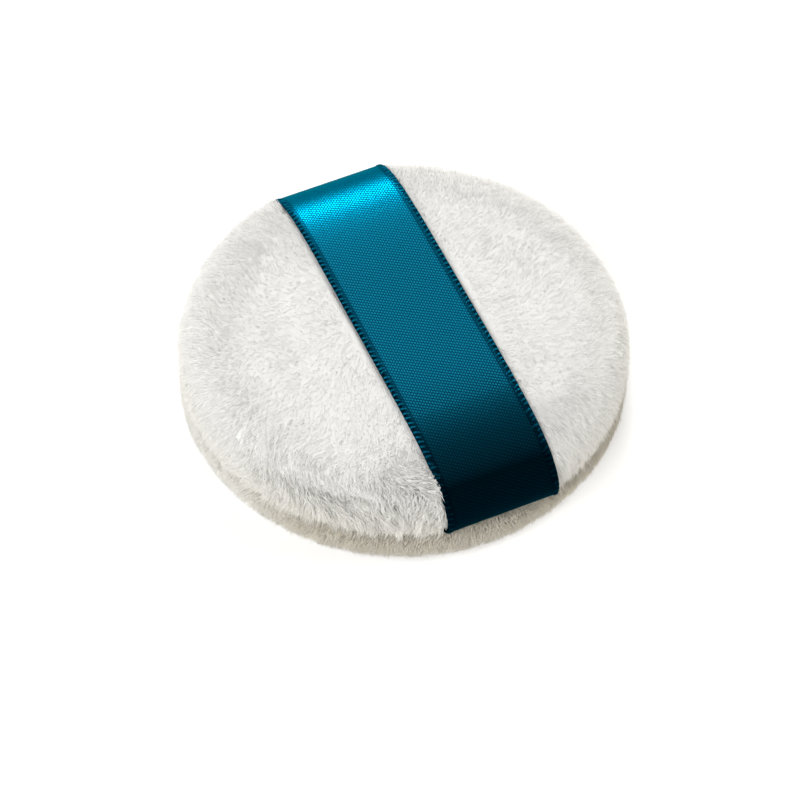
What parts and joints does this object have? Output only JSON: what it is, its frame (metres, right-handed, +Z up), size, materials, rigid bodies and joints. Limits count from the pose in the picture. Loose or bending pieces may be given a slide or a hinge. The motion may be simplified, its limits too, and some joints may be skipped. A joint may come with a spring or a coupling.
{
  "type": "powder puff",
  "caption": "Round plush powder puff with a flat powder face, a crowned back and a satin finger ribbon that lifts off the back so that fingers slide under it.",
  "frame": {"origin": "middle of the powder face, on the surface that the puff rests on", "axes": "+Z up out of the back, +Y along the ribbon, X across the ribbon"},
  "size_m": [0.06, 0.0592, 0.0149],
  "materials": {
    "back_plush": "long soft pile",
    "face_plush": "short soft pile",
    "sponge": "open-cell foam",
    "satin_ribbon": "satin weave with looped selvedges",
    "sewing_thread": "spun thread"
  },
  "bodies": {
    "puff": {"lower_cover": "face_plush", "sponge_core": "sponge", "upper_cover": "back_plush", "ribbon_end_front": "satin_ribbon", "ribbon_end_back": "satin_ribbon", "seam_needle_thread": "sewing_thread", "seam_bobbin_thread": "sewing_thread", "closing_thread": "sewing_thread"},
    "ribbon": {"ribbon_band": "satin_ribbon"}
  },
  "joints": [
    {"name": "ribbon_lift", "type": "slide", "parent": "puff", "child": "ribbon", "axis": [0, 0, 1], "range_m": [0, 0.008], "stiffness_N_per_m": 25}
  ]
}
